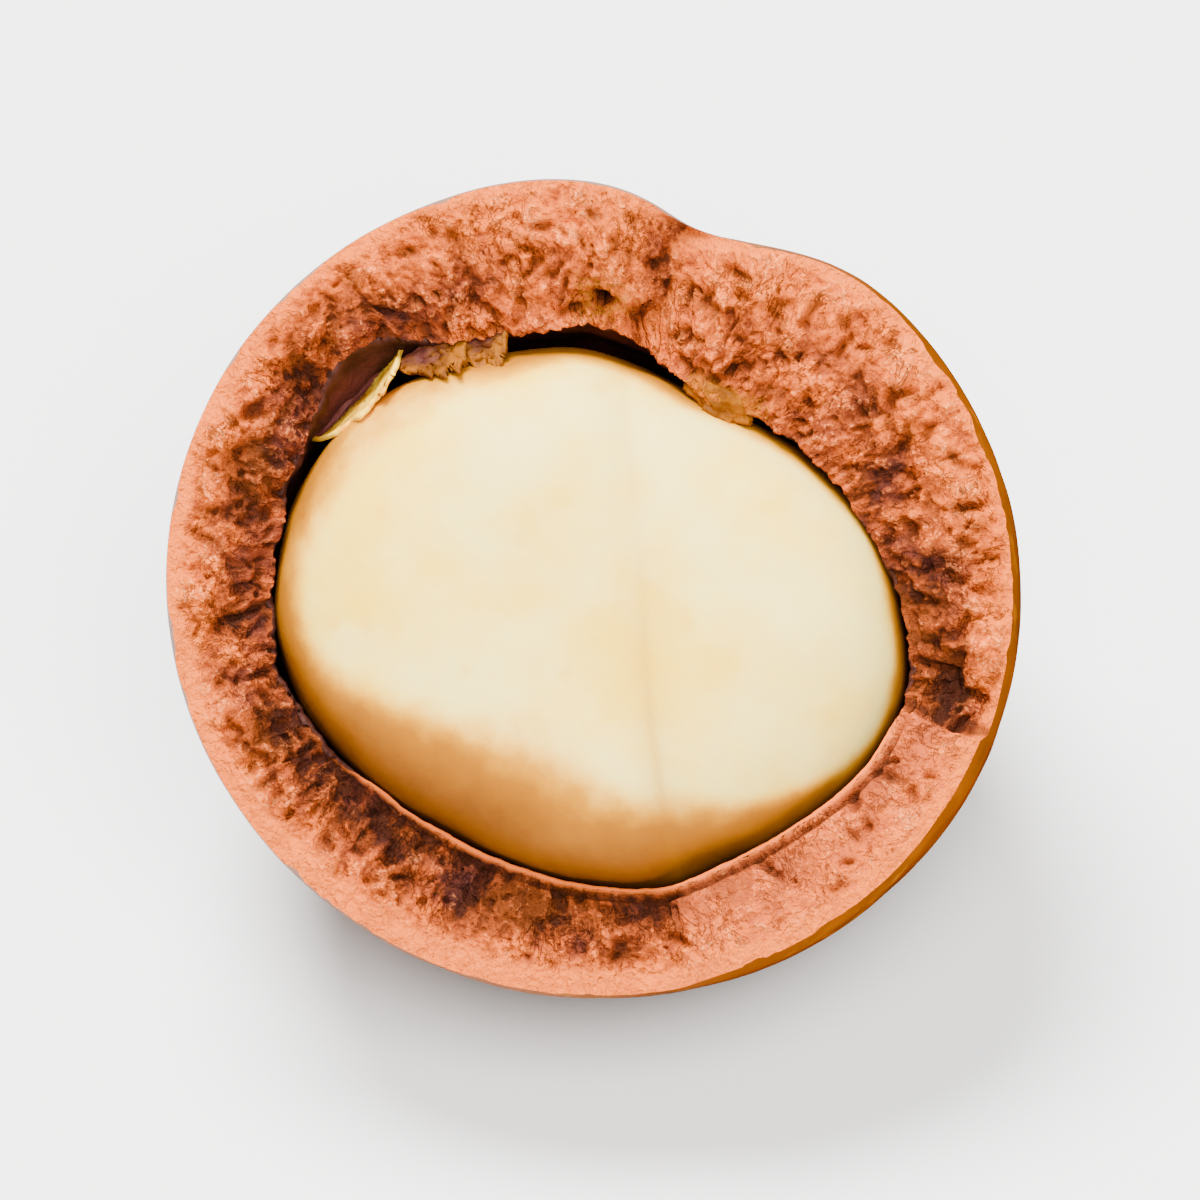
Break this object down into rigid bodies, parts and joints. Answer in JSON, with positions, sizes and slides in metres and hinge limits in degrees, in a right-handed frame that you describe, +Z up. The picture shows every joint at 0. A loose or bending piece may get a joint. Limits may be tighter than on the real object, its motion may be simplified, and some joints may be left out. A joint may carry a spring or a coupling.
{
  "type": "macadamia nut in shell",
  "caption": "Cracked-open macadamia nut: a thick woody half shell with a rough broken rim holds the whole cream kernel and rests leaning back on a small flat spot.",
  "frame": {"origin": "middle of the small flat spot that the shell rests on", "axes": "+Z up from the surface it rests on; +X to the right as seen from the open side; the break faces up and towards -Y, leaning back 38 degrees from level"},
  "size_m": [0.0272, 0.0248, 0.0226],
  "materials": {
    "shell_wood": "satin",
    "kernel_flesh": "satin"
  },
  "bodies": {
    "root": {"shell": "shell_wood", "kernel": "kernel_flesh"}
  },
  "joints": []
}
